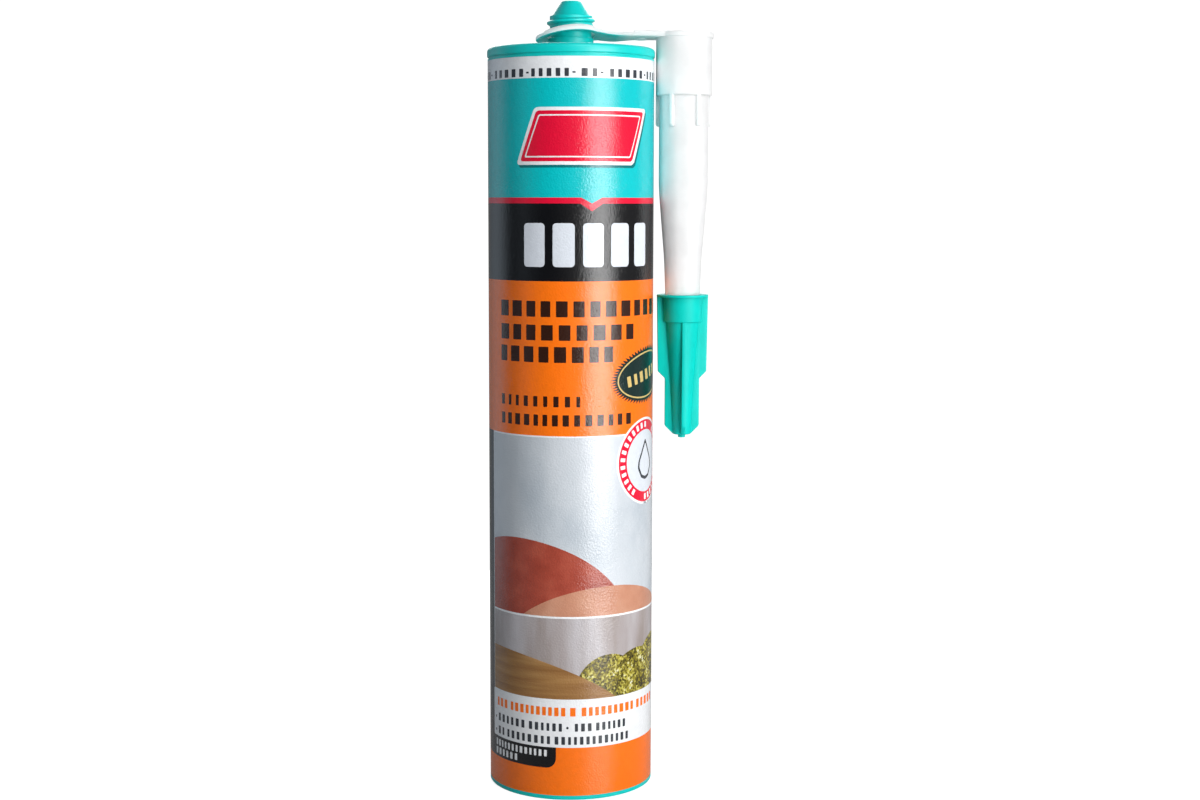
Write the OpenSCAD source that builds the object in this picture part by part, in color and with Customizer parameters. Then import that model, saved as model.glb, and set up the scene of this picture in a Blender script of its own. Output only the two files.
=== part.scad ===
// Sealant cartridge for a skeleton gun, standing on its open rear end.
// Origin: on the barrel axis, in the plane of the rear rim. +Z runs to the nipple.
// The nozzle hangs tip down beside the barrel, held by a strap whose ring turns round the nipple.

/* [Barrel] */
// Length from the open rear end to the top of the shoulder
barrel_l = 221.3; // [216:0.1:240]
// Outside diameter over the printed wrap
barrel_d = 49.5; // [47:0.1:50]
// Wall thickness of the barrel
barrel_wall = 1.3; // [1.1:0.1:1.6]
// Thickness of the shoulder disc
shoulder_t = 1.6; // [1.2:0.1:2.4]
// Height of the bead round the edge of the shoulder
bead_h = 2.7; // [2:0.1:3.5]
// How far the bead stands out past the wrap
bead_proud = 0.15; // [0.05:0.05:0.2]
// Radius of the upper edge of the bead
bead_round = 1.1; // [0.5:0.1:1.5]
// Height of the groove under the bead
groove_h = 0.5; // [0.3:0.1:0.8]
// Depth of the groove under the bead
groove_depth = 0.35; // [0.2:0.05:0.5]
// Height of the ledge that the wrap ends against
ledge_h = 0.6; // [0.4:0.1:1]
// Height of the bare ring below the wrap, at the rear end
bare_ring_h = 1.3; // [1:0.1:3]
// Depth of the widened mouth at the rear end
mouth_l = 9; // [6:0.5:11]
// How much wider the mouth is than the barrel bore, on the radius
mouth_step = 0.35; // [0.2:0.05:0.5]

/* [Printed wrap] */
// Thickness of the wrap film
wrap_t = 0.12; // [0.08:0.01:0.2]
// Height of the white band at the top
white_band_h = 6.1; // [4:0.1:8]
// Height of the teal band
teal_band_h = 33.9; // [25:0.1:38]
// Height of the red stripe
red_band_h = 1.7; // [1:0.1:3]
// Height of the black band
black_band_h = 22.3; // [15:0.1:28]
// Height of the upper orange band
orange_band_h = 44.9; // [35:0.1:50]
// Height of the pale picture panels
picture_h = 78.5; // [60:0.1:80]
// Height of the white panel under the pictures
panel_h = 14.2; // [10:0.1:18]

/* [Nipple] */
// Diameter of the collar at the foot of the nipple
collar_d = 13.4; // [13:0.1:13.6]
// Height of the collar
collar_h = 3.1; // [2:0.1:3.4]
// Diameter of the plain neck that the ring turns round
neck_d = 12.2; // [11.8:0.1:12.4]
// Height of the plain neck
neck_h = 3.1; // [3:0.1:4]
// Diameter of the root of the thread
thread_root_d = 12.6; // [12.5:0.1:12.8]
// Depth of the thread
thread_depth = 0.85; // [0.6:0.05:0.9]
// Height of the threaded length
thread_l = 4.1; // [4:0.1:6]
// Height of the cone that ends the nipple
cone_h = 3.6; // [3:0.1:5]
// Diameter of the flat top of the cone
cone_tip_d = 5.6; // [4:0.1:7]
// Diameter of the bore inside the nipple
nipple_bore_d = 9; // [7:0.1:9.5]
// Thickness of the moulded skin that closes the nipple
nipple_skin = 1.0; // [0.8:0.1:1.5]

/* [Piston and sealant] */
// Height of the front face of the piston above the rear end
piston_top = 38; // [34:0.5:60]
// Length of the piston
piston_l = 25; // [18:0.5:25]
// Thickness of the piston's front wall
piston_floor = 1.6; // [1.2:0.1:2.5]
// Thickness of the piston's skirt between its lips
piston_skirt = 1.2; // [1:0.1:2]
// Height of each sealing lip
lip_h = 2.4; // [1.5:0.1:4]
// How far the lips stand out from the skirt
lip_proud = 0.6; // [0.3:0.1:1]

/* [Strap and flange] */
// Height of the underside of the nozzle flange above the shoulder
flange_gap = 3.2; // [2.8:0.1:3.4]
// Thickness of the nozzle flange
flange_t = 1.6; // [1.2:0.1:2]
// How far the flange stands out past the hub
flange_lip = 0.45; // [0.3:0.05:1.5]
// Thickness of the strap and its ring
strap_t = 1.2; // [0.8:0.1:1.5]
// Width of the strap
strap_w = 13; // [8:0.5:15]
// Outer radius of the ring round the nipple
ring_r = 10.5; // [9.5:0.1:11]
// Distance from the barrel axis to the end of the thicker flange plate
plate_x = 18.5; // [17:0.1:22]
// Rise of the strap over the nipple, above the underside of the flange
arch_rise = 1.3; // [0.5:0.1:1.4]
// Distance from the barrel axis to the top of that rise
arch_x = 4; // [0:0.5:6]
// Length over which the rise runs out towards the nozzle
arch_run = 10; // [8:0.5:12]
// Droop of the free side of the ring, below the top of the rise
ring_droop = 2.2; // [0:0.1:2.4]
// Radius of the small round pip under the strap
pip_r = 1.7; // [1:0.1:2]
// Height of that pip
pip_h = 0.5; // [0.3:0.1:0.8]

/* [Nozzle] */
// Outer radius of the hub
hub_r = 8.35; // [8.2:0.05:8.4]
// Length of the smooth hub below the flange
hub_l = 16.8; // [14:0.1:20]
// Number of ribs under the hub
rib_n = 6; // [4:1:8]
// Length of the ribs
rib_l = 9.1; // [6:0.1:12]
// Thickness of a rib
rib_t = 1.2; // [0.8:0.1:1.6]
// Radius of the tube under the hub
tube_r = 7.35; // [7.1:0.05:7.6]
// Length of the straight tube, ribs included
tube_l = 27.4; // [20:0.1:32]
// Length of the first taper
taper_l = 21.4; // [15:0.1:26]
// Radius at the end of the first taper
taper_r = 5.6; // [5.5:0.05:6]
// Length from the first taper to the step inside the cap
spout_l = 11; // [9:0.1:14]
// Radius at the end of that length
spout_r = 5.2; // [5:0.05:5.4]
// Length of the step
step_l = 7; // [5:0.1:9]
// Radius under the step
step_r = 4.15; // [4:0.05:4.3]
// Length of the tip cone inside the cap
tip_l = 30.4; // [26:0.1:32]
// Radius at the end of the tip
tip_r = 1.9; // [1.8:0.05:2.2]
// Radius of the hole at the end of the tip
tip_hole_r = 1.1; // [0.8:0.05:1.2]
// Wall thickness of the nozzle
nozzle_wall = 1.2; // [0.9:0.05:1.3]
// Depth of the threaded socket, from the top of the flange
socket_l = 13; // [11:0.5:16]

/* [Cap] */
// Depth of the cap's mouth above the nozzle's step
cap_cover = 7.7; // [5:0.1:9]
// Wall thickness of the cap
cap_wall = 0.8; // [0.7:0.05:1]
// Height of the collar of the cap
cap_collar_h = 8.2; // [6:0.1:10]
// How much the collar narrows towards its lower edge, on the radius
cap_collar_taper = 0.3; // [0.2:0.05:0.4]
// Thickness of the rim plate round the cap's mouth
cap_rim_t = 0.7; // [0.4:0.1:1]
// Radius of the two wide fins at the top of the cap
fin_top_r = 7.75; // [7:0.05:8]
// Radius of the wide fins just above their upper chamfer
fin_mid_r = 7.35; // [6.5:0.05:7.6]
// Radius of the fins below that chamfer
fin_low_r = 5.2; // [4.5:0.05:5.4]
// Radius of the two narrow fins where they meet the collar
fin_narrow_r = 5.5; // [5.4:0.05:5.7]
// Radius of the fins at the bottom of the cap
fin_end_r = 2.6; // [2:0.05:3]
// Length of the wide part of the wide fins
fin_wide_l = 23.2; // [18:0.1:26]
// Thickness of a fin
fin_t = 1.3; // [1:0.1:1.8]
// Angle of the fins round the cap's axis
fin_turn = 3; // [0:1:45]
// Thickness of the cap's closed end
cap_floor = 4.2; // [3:0.1:5]
// Radius of the nub under the cap
nub_r = 1.1; // [0.8:0.1:1.4]
// Height of the nub
nub_h = 1; // [0.5:0.1:1.5]

/* [Fits] */
// Gap between the hanging hub and the bead of the shoulder
hub_gap = 0.35; // [0.3:0.05:2]
// Radial clearance of the nozzle's socket over the thread of the nipple
thread_clear = 0.1; // [0.05:0.05:0.15]
// Radial clearance of the piston lips in the barrel bore
piston_clear = 0.08; // [0.05:0.01:0.1]
// Gap between the nozzle and the inside of the cap
cap_clear = 0.1; // [0.05:0.01:0.2]
// Radial clearance of the ring round the collar of the nipple
ring_clear = 0.25; // [0.2:0.05:0.35]
// Thin gap that parts the sealant from the piston's front face
sealant_gap = 0.05; // [0.02:0.01:0.1]

/* [Hidden] */
$fn = 96;
// Radii of the barrel
wrap_r = barrel_d / 2;
shell_r = wrap_r - wrap_t;
bore_r = shell_r - barrel_wall;
mouth_r = bore_r + mouth_step;
bead_r = wrap_r + bead_proud;
// Heights on the barrel
head_z = barrel_l - shoulder_t;
bead_z = barrel_l - bead_h;
groove_z = bead_z - groove_h;
wrap_top = groove_z - ledge_h;
collar_z = barrel_l + collar_h;
thread_z = collar_z + neck_h;
cone_z = thread_z + thread_l;
nipple_top = cone_z + cone_h;
// Heights of the wrap's bands, from the top down
white_z = wrap_top - white_band_h;
teal_z = white_z - teal_band_h;
red_z = teal_z - red_band_h;
black_z = red_z - black_band_h;
orange_z = black_z - orange_band_h;
picture_z = orange_z - picture_h;
panel_z = picture_z - panel_h;
wrap_bands = [
    [white_z, wrap_top, "white"], [teal_z, white_z, "mediumturquoise"], [red_z, teal_z, "crimson"],
    [black_z, red_z, "black"], [orange_z, black_z, "darkorange"], [picture_z, orange_z, "lightgray"],
    [panel_z, picture_z, "white"], [bare_ring_h, panel_z, "darkorange"]];
// Places on the nozzle
hang_x = bead_r + hub_gap + hub_r;
flange_r = hub_r + flange_lip;
flange_z = barrel_l + flange_gap;
flange_top = flange_z + flange_t;
hub_z = flange_z - hub_l;
rib_z = hub_z - rib_l;
tube_z = hub_z - tube_l;
taper_z = tube_z - taper_l;
spout_z = taper_z - spout_l;
step_z = spout_z - step_l;
tip_z = step_z - tip_l;
socket_z = flange_top - socket_l;
socket_r = thread_root_d / 2 + thread_depth + thread_clear;
ring_hole_r = collar_d / 2 + ring_clear;
// Places on the cap
cap_top = step_z + cap_cover;
cap_core_z = cap_top - cap_collar_h;
cap_z = tip_z - cap_floor;
cap_skin = cap_clear + cap_wall;
fin_end_l = fin_low_r - fin_end_r;
fin_step_l = fin_mid_r - fin_low_r;
// Side outlines of the fins, drawn in X and Z on the +X side of the cap's axis
fin_foot = [[0, cap_z], [fin_end_r, cap_z], [fin_low_r, cap_z + fin_end_l]];
wide_fin = concat(fin_foot, [[fin_low_r, cap_top - fin_wide_l - fin_step_l],
    [fin_mid_r, cap_top - fin_wide_l], [fin_top_r, cap_top], [0, cap_top]]);
narrow_fin = concat(fin_foot, [[fin_narrow_r, cap_core_z + 0.2], [0, cap_core_z + 0.2]]);
// Height of the underside of the strap at a distance x from the barrel axis
function strap_z(x) =
    x >= arch_x + arch_run ? flange_z :
    x >= arch_x ? flange_z + arch_rise / 2 * (1 + cos(180 * (x - arch_x) / arch_run)) :
    flange_z + arch_rise - ring_droop * pow((arch_x - x) / (arch_x + ring_r), 2);
// Radius of the nozzle's outside at a height inside the cap
function tip_outer(z) = tip_r + (step_r - tip_r) * (z - tip_z) / (step_z - tip_z);

// A tube between two heights
module sleeve(r_out, r_in, z0, z1) {
    translate([0, 0, z0]) difference() {
        cylinder(r = r_out, h = z1 - z0);
        translate([0, 0, -1]) cylinder(r = r_in, h = z1 - z0 + 2);
    }
}

// A solid turned round Z from a half outline that starts and ends on the axis
module turned(points) {
    rotate_extrude() polygon(points);
}

module cartridge() {
    color("lightseagreen") difference() {
        union() {
            cylinder(r = wrap_r, h = bare_ring_h);
            cylinder(r = shell_r, h = head_z);
            translate([0, 0, wrap_top]) cylinder(r = wrap_r, h = ledge_h);
            translate([0, 0, groove_z]) cylinder(r = wrap_r - groove_depth, h = groove_h);
            // bead with a rounded upper edge
            rotate_extrude() {
                translate([0, bead_z]) square([bead_r, bead_h - bead_round]);
                translate([0, bead_z]) square([bead_r - bead_round, bead_h]);
                translate([bead_r - bead_round, barrel_l - bead_round]) circle(r = bead_round);
            }
            nipple();
        }
        turned([[0, -1], [mouth_r, -1], [mouth_r, mouth_l], [bore_r, mouth_l + mouth_step],
            [bore_r, head_z], [0, head_z]]);
        // bore of the nipple, closed by a skin at the tip
        turned([[0, head_z - 1], [nipple_bore_d / 2, head_z - 1], [nipple_bore_d / 2, cone_z],
            [cone_tip_d / 2 - 0.9, nipple_top - nipple_skin], [0, nipple_top - nipple_skin]]);
    }
}

module nipple() {
    root_r = thread_root_d / 2;
    turned([[0, barrel_l - 1], [collar_d / 2, barrel_l - 1], [collar_d / 2, collar_z],
        [neck_d / 2, collar_z], [neck_d / 2, thread_z], [root_r, thread_z], [root_r, cone_z],
        [root_r - 0.15, cone_z], [cone_tip_d / 2 + 0.25, nipple_top - 0.3],
        [cone_tip_d / 2, nipple_top], [0, nipple_top]]);
}

module label() {
    for (band = wrap_bands)
        color(band[2]) sleeve(wrap_r, shell_r, band[0], band[1]);
}

module sealant() {
    color("ivory") translate([0, 0, piston_top + sealant_gap])
        cylinder(r = bore_r, h = head_z - piston_top - sealant_gap);
}

// Cup open to the rear, with a sealing lip at each end of its skirt
module piston() {
    lip_r = bore_r - piston_clear;
    skirt_r = lip_r - lip_proud;
    z0 = piston_top - piston_l;
    color("whitesmoke") difference() {
        turned([[0, z0], [lip_r, z0], [lip_r, z0 + lip_h], [skirt_r, z0 + lip_h + lip_proud],
            [skirt_r, piston_top - lip_h - lip_proud - 0.8], [lip_r, piston_top - lip_h - 0.8],
            [lip_r, piston_top - 0.8], [lip_r - 0.8, piston_top], [0, piston_top]]);
        translate([0, 0, z0 - 1])
            cylinder(r = skirt_r - piston_skirt, h = piston_l - piston_floor + 1);
    }
}

// Side outline of the strap and flange plate, drawn in X and Z
module strap_side() {
    xs = [for (x = -ring_r - 0.5; x < plate_x; x = x + 1) x];
    far = hang_x + flange_r + 1;
    polygon(concat(
        [for (x = xs) [x, strap_z(x)]],
        [[plate_x, flange_z], [far, flange_z], [far, flange_top], [plate_x, flange_top],
            [plate_x, strap_z(plate_x) + strap_t]],
        [for (i = [len(xs) - 1 : -1 : 0]) [xs[i], strap_z(xs[i]) + strap_t]]));
}

// Ring, strap and flange in one flexible plate
module strap_plate() {
    intersection() {
        rotate([90, 0, 0]) linear_extrude(height = 2 * ring_r + 4, center = true) strap_side();
        translate([0, 0, barrel_l]) linear_extrude(height = 3 * flange_gap) difference() {
            union() {
                circle(r = ring_r);
                translate([0, -strap_w / 2]) square([hang_x, strap_w]);
                translate([hang_x, 0]) circle(r = flange_r);
            }
            circle(r = ring_hole_r);
        }
    }
    translate([plate_x + 2.2, 0, flange_z - pip_h]) cylinder(r = pip_r, h = pip_h + 0.2);
}

module nozzle_ribs() {
    for (i = [0 : rib_n - 1])
        rotate([0, 0, 360 / rib_n * i]) rotate([90, 0, 0])
            linear_extrude(height = rib_t, center = true)
                polygon([[tube_r - 0.6, rib_z], [tube_r, rib_z], [hub_r, rib_z + 0.8],
                    [hub_r, hub_z + 0.1], [tube_r - 0.6, hub_z + 0.1]]);
}

module nozzle() {
    color("white") difference() {
        union() {
            strap_plate();
            translate([hang_x, 0, 0]) {
                translate([0, 0, hub_z]) cylinder(r = hub_r, h = flange_z - hub_z + 0.2);
                nozzle_ribs();
                turned([[0, tip_z], [tip_r, tip_z], [step_r, step_z], [spout_r, spout_z],
                    [taper_r, taper_z], [tube_r, tube_z], [tube_r, hub_z + 0.1], [0, hub_z + 0.1]]);
            }
        }
        // threaded socket and the tapering bore below it
        translate([hang_x, 0, socket_z]) cylinder(r = socket_r, h = socket_l + 1);
        translate([hang_x, 0, 0])
            turned([[0, tip_z - 1], [tip_hole_r, tip_z - 1], [tip_hole_r, tip_z],
                [step_r - nozzle_wall, step_z], [spout_r - nozzle_wall, spout_z],
                [taper_r - nozzle_wall, taper_z], [tube_r - nozzle_wall, tube_z],
                [tube_r - nozzle_wall, socket_z + 1], [0, socket_z + 1]]);
    }
}

// One fin, as a plate with that outline
module cap_fin(outline) {
    rotate([90, 0, 0]) linear_extrude(height = fin_t, center = true) polygon(outline);
}

module nozzle_cap() {
    mid_z = (cap_core_z + cap_z) / 2;
    end_r = tip_r + cap_skin;
    collar_r = spout_r + cap_skin;
    collar_low_r = collar_r - cap_collar_taper;
    color("lightseagreen") translate([hang_x, 0, 0]) difference() {
        union() {
            turned([[0, cap_z], [end_r - 0.4, cap_z], [end_r, cap_z + 0.4],
                [tip_outer(mid_z) + cap_skin, mid_z], [tip_outer(cap_core_z) + cap_skin, cap_core_z],
                [collar_low_r - 0.2, cap_core_z], [collar_low_r, cap_core_z + 0.2],
                [collar_r, cap_top], [0, cap_top]]);
            translate([0, 0, cap_top - cap_rim_t]) cylinder(r = fin_top_r, h = cap_rim_t);
            for (side = [0, 180]) rotate([0, 0, fin_turn + side]) {
                cap_fin(wide_fin);
                rotate([0, 0, 90]) cap_fin(narrow_fin);
            }
            // nub left where the moulding was fed
            translate([0, 0, cap_z - nub_h]) cylinder(r = nub_r, h = nub_h + 0.2);
        }
        // inside, which follows the nozzle with an even gap
        turned([[0, tip_z - 0.6], [tip_r + cap_clear, tip_z - 0.6], [tip_r + cap_clear, tip_z],
            [step_r + cap_clear, step_z], [spout_r + cap_clear, spout_z],
            [spout_r + cap_clear + 0.05, cap_top + 1], [0, cap_top + 1]]);
    }
}

cartridge();
label();
sealant();
piston();
nozzle();
nozzle_cap();
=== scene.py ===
"""A sealant cartridge that stands on its open rear end, with its nozzle hanging beside it by a strap.

Lengths are in metres. The origin is on the barrel's axis, in the plane of the rear rim. +Z runs to the
nipple, the front of the print faces -Y, and the nozzle hangs at +X.
"""

import math

import bmesh
import bpy
from mathutils import Matrix, Vector


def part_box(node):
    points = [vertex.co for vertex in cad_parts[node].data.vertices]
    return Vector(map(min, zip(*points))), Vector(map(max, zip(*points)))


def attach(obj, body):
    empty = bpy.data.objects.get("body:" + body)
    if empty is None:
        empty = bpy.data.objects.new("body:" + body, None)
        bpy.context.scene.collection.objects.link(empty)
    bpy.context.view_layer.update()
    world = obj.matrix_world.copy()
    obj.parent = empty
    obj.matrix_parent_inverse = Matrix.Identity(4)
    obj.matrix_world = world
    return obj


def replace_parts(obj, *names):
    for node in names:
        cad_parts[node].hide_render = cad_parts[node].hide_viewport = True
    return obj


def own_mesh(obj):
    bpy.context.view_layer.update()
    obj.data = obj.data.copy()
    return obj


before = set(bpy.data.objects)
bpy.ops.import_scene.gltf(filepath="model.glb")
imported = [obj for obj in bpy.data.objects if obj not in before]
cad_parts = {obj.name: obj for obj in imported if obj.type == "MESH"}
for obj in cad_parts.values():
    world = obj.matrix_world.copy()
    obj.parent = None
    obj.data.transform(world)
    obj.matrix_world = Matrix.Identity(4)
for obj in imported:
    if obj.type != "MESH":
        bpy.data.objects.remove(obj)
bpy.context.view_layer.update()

MM = 0.001

# Sizes that come from the solids
wrap_low, wrap_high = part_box("label")
barrel_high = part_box("cartridge")[1]
nozzle_low, nozzle_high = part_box("nozzle")
cap_low, cap_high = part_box("nozzle_cap")
sealant_low, sealant_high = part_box("sealant")
WRAP_R = wrap_high.x
WRAP_BOTTOM = wrap_low.z
WRAP_TOP = wrap_high.z
BEAD_R = barrel_high.x
NIPPLE_TOP = barrel_high.z
HANG_X = (cap_low.x + cap_high.x) / 2
FLANGE_R = nozzle_high.x - HANG_X
RING_R = -nozzle_low.x
TIP_Z = nozzle_low.z
CAP_TOP = cap_high.z
NUB_Z = cap_low.z

# Barrel
WRAP_T = 0.12 * MM
WALL = 1.3 * MM
SHELL_R = WRAP_R - WRAP_T
BORE_R = SHELL_R - WALL
MOUTH_STEP = 0.35 * MM
MOUTH_L = 9 * MM
SHOULDER_Z = 221.3 * MM
SHOULDER_T = 1.6 * MM
BEAD_H = 2.7 * MM
BEAD_ROUND = 1.1 * MM
GROOVE_H = 0.5 * MM
GROOVE_DEPTH = 0.35 * MM
# Nipple
COLLAR_R = 6.7 * MM
COLLAR_H = 3.1 * MM
NECK_R = 6.1 * MM
NECK_H = 3.1 * MM
ROOT_R = 6.3 * MM
THREAD_L = 4.1 * MM
THREAD_DEPTH = 0.85 * MM
THREAD_PITCH = 1.8 * MM
THREAD_Z = SHOULDER_Z + COLLAR_H + NECK_H
CONE_Z = THREAD_Z + THREAD_L
LEDGE_Z = CONE_Z - 0.7 * MM
CONE_FOOT_R = 5.6 * MM
CONE_TIP_R = 2.8 * MM
CONE_WALL = 0.9 * MM
NIPPLE_BORE_R = 4.5 * MM
NIPPLE_SKIN = 1.0 * MM
# Strap and flange
FLANGE_Z = SHOULDER_Z + 3.2 * MM
FLANGE_T = 1.6 * MM
FLANGE_TOP = FLANGE_Z + FLANGE_T
STRAP_T = 1.2 * MM
STRAP_W = 13 * MM
RING_HOLE_R = 6.95 * MM
PLATE_X = 18.5 * MM
ARCH_RISE = 1.3 * MM
ARCH_X = 4 * MM
ARCH_RUN = 10 * MM
RING_DROOP = 2.2 * MM
RING_LIFT = 0.4 * MM
RING_DIP = 1.5 * MM
LIP_IN_R = RING_HOLE_R + 0.3 * MM
LIP_OUT_R = RING_HOLE_R + 1.4 * MM
LIP_H = 0.75 * MM
PIP_R = 1.7 * MM
PIP_H = 0.5 * MM
PIP_X = PLATE_X + 2.2 * MM
# Nozzle
HUB_R = 8.35 * MM
HUB_Z = FLANGE_Z - 16.8 * MM
RIB_L = 9.1 * MM
RIB_T = 1.2 * MM
RIB_COUNT = 6
TUBE_R = 7.35 * MM
TUBE_Z = HUB_Z - 27.4 * MM
TAPER_R = 5.6 * MM
TAPER_Z = TUBE_Z - 21.4 * MM
SPOUT_R = 5.2 * MM
SPOUT_Z = TAPER_Z - 11 * MM
STEP_R = 4.15 * MM
STEP_Z = SPOUT_Z - 7 * MM
TIP_R = 1.9 * MM
TIP_HOLE_R = 1.1 * MM
NOZZLE_WALL = 1.2 * MM
SOCKET_R = 7.25 * MM
SOCKET_Z = FLANGE_TOP - 13 * MM
SOCKET_THREAD_DEPTH = 0.65 * MM
# Cap
CAP_CLEAR = 0.1 * MM
CAP_SKIN = CAP_CLEAR + 0.8 * MM
CAP_COLLAR_H = 8.2 * MM
CAP_COLLAR_TAPER = 0.3 * MM
CAP_RIM_T = 0.7 * MM
NUB_H = 1 * MM
NUB_R = 1.1 * MM
CAP_Z = NUB_Z + NUB_H
CORE_Z = CAP_TOP - CAP_COLLAR_H
FIN_TOP_R = 7.75 * MM
FIN_MID_R = 7.35 * MM
FIN_LOW_R = 5.2 * MM
FIN_END_R = 2.6 * MM
FIN_NARROW_R = 5.5 * MM
FIN_WIDE_L = 23.2 * MM
FIN_T = 1.3 * MM
FIN_TURN = math.radians(3)


# Shaping

MERGE = 1e-7
JOIN_MERGE = 1e-6
CORNER_SEGMENTS = 5
BARREL_STEPS = 256


def flat(x, y):
    """A spot in the plane that plates and prints are drawn in."""
    return x, y, 0


def upright(r, z):
    """A spot in the half plane that a solid is turned from."""
    return r, 0, z


def soften(bm, geom, width, segments=3, affect="EDGES"):
    """Round edges or corners off, as a mould does."""
    bmesh.ops.bevel(bm, geom=geom, offset=width, offset_type="OFFSET", affect=affect, segments=segments,
                    profile=0.5, material=-1, clamp_overlap=True)


def sharp_edges(bm):
    """Edges between two faces that meet at more than 60 degrees."""
    bm.normal_update()
    return [e for e in bm.edges if len(e.link_faces) == 2 and e.calc_face_angle(0) > math.radians(60)]


def polygon(bm, points, place=flat):
    """A flat face through points of (a, b, round), where round is the radius of that corner."""
    verts = [bm.verts.new(place(a, b)) for a, b, _ in points]
    edges = [bm.edges.new(pair) for pair in zip(verts, verts[1:] + verts[:1])]
    bmesh.ops.contextual_create(bm, geom=edges)
    for size in sorted({r for _, _, r in points if r > 0}):
        corners = [v for v, (_, _, r) in zip(verts, points) if r == size]
        soften(bm, corners, size, CORNER_SEGMENTS, "VERTICES")


def turned(points, steps=128):
    """A solid turned round Z from a closed half outline of (radius, height, round)."""
    bm = bmesh.new()
    polygon(bm, points, upright)
    bmesh.ops.delete(bm, geom=bm.faces[:], context="FACES_ONLY")
    on_axis = [e for e in bm.edges if all(v.co.x < MERGE for v in e.verts)]
    bmesh.ops.delete(bm, geom=on_axis, context="EDGES")
    bmesh.ops.spin(bm, geom=bm.verts[:] + bm.edges[:], cent=(0, 0, 0), axis=(0, 0, 1), angle=math.tau,
                   steps=steps, use_merge=True)
    bmesh.ops.remove_doubles(bm, verts=bm.verts, dist=MERGE)
    bmesh.ops.recalc_face_normals(bm, faces=bm.faces)
    return bm


def thicken(bm, vec):
    """Give flat faces a thickness along vec."""
    raised = bmesh.ops.extrude_face_region(bm, geom=bm.faces[:])["geom"]
    bmesh.ops.translate(bm, vec=vec, verts=[v for v in raised if isinstance(v, bmesh.types.BMVert)])
    bmesh.ops.recalc_face_normals(bm, faces=bm.faces)


def cut_across(bm, x):
    """Cut a row of edges into the faces at x, so that they can bend there."""
    bmesh.ops.bisect_plane(bm, geom=bm.verts[:] + bm.edges[:] + bm.faces[:], dist=MERGE,
                           plane_co=(x, 0, 0), plane_no=(1, 0, 0))


def move(bm, x=0.0, y=0.0, z=0.0):
    """Shift the whole shape."""
    bmesh.ops.translate(bm, vec=(x, y, z), verts=bm.verts)
    return bm


def turn(bm, angle):
    """Turn the whole shape round Z."""
    bmesh.ops.rotate(bm, cent=(0, 0, 0), matrix=Matrix.Rotation(angle, 3, "Z"), verts=bm.verts)
    return bm


def add_to(bm, other):
    """Put one bmesh into another."""
    mesh = bpy.data.meshes.new("passed on")
    other.to_mesh(mesh)
    other.free()
    bm.from_mesh(mesh)
    bpy.data.meshes.remove(mesh)


def mesh_of(name, bm, materials=(), angle=35):
    """An object with this mesh, smooth but for edges sharper than the angle."""
    mesh = bpy.data.meshes.new(name)
    bm.to_mesh(mesh)
    bm.free()
    for material in materials:
        mesh.materials.append(material)
    mesh.shade_smooth()
    mesh.set_sharp_from_angle(angle=math.radians(angle))
    piece = bpy.data.objects.new(name, mesh)
    bpy.context.scene.collection.objects.link(piece)
    return piece


def piece_of(name, bm, body, slot, *materials, angle=35):
    """A finished piece that moves with one body."""
    piece = mesh_of(name, bm, materials, angle)
    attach(piece, body)
    return piece


def joined(base, added, cut):
    """One solid: base with the added solids fused to it and the cut ones taken out."""
    whole = mesh_of("whole", base)
    spent = [whole]
    for kind, solids in (("UNION", added), ("DIFFERENCE", cut)):
        for solid in solids:
            tool = mesh_of("tool", solid)
            spent.append(tool)
            step = whole.modifiers.new("join", "BOOLEAN")
            step.operation = kind
            step.solver = "EXACT"
            step.object = tool
    bpy.context.view_layer.update()
    made = bpy.data.meshes.new_from_object(whole.evaluated_get(bpy.context.evaluated_depsgraph_get()))
    bm = bmesh.new()
    bm.from_mesh(made)
    bmesh.ops.remove_doubles(bm, verts=bm.verts, dist=JOIN_MERGE)
    scraps = [made] + [scrap.data for scrap in spent]
    for scrap in spent:
        bpy.data.objects.remove(scrap)
    for mesh in scraps:
        bpy.data.meshes.remove(mesh)
    return bm


# Materials, whose grain is in cycles per metre and has its depth in metres

CLOUD = 90
SKIN = 1400
SKIN_DEPTH = 0.02 * MM
INK_GRAIN = 700
PEEL = 1900
PEEL_DEPTH = 0.14 * MM
LEAF = 1800
LEAF_CLUMP = 260
FILM_ROUGH = 0.15
PICTURE_ROUGH = 0.22


def node(tree, kind, **inputs):
    """A new node with some of its inputs set."""
    made = tree.nodes.new(kind)
    for socket, value in inputs.items():
        made.inputs[socket.replace("_", " ")].default_value = value
    return made


def shader(name, colour, roughness, **inputs):
    """A material, its node tree and its surface shader."""
    material = bpy.data.materials.new(name)
    material.use_nodes = True
    surface = material.node_tree.nodes["Principled BSDF"]
    surface.inputs["Base Color"].default_value = (*colour, 1)
    surface.inputs["Roughness"].default_value = roughness
    for socket, value in inputs.items():
        surface.inputs[socket.replace("_", " ")].default_value = value
    return material, material.node_tree, surface


def noise(tree, scale, detail, stretch=None):
    """Noise on the object's own coordinates."""
    spot = node(tree, "ShaderNodeTexCoord").outputs["Object"]
    grain = node(tree, "ShaderNodeTexNoise", Scale=scale, Detail=detail)
    if stretch:
        mapping = node(tree, "ShaderNodeMapping", Scale=stretch)
        tree.links.new(spot, mapping.inputs["Vector"])
        spot = mapping.outputs["Vector"]
    tree.links.new(spot, grain.inputs["Vector"])
    return grain.outputs["Fac"]


def colour_ramp(tree, factor, stops):
    """The colour that a factor picks from stops of (place, colour)."""
    ramp = tree.nodes.new("ShaderNodeValToRGB")
    while len(ramp.color_ramp.elements) < len(stops):
        ramp.color_ramp.elements.new(0.5)
    for element, (where, colour) in zip(ramp.color_ramp.elements, stops):
        element.position = where
        element.color = (*colour, 1)
    tree.links.new(factor, ramp.inputs["Fac"])
    return ramp.outputs["Color"]


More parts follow.
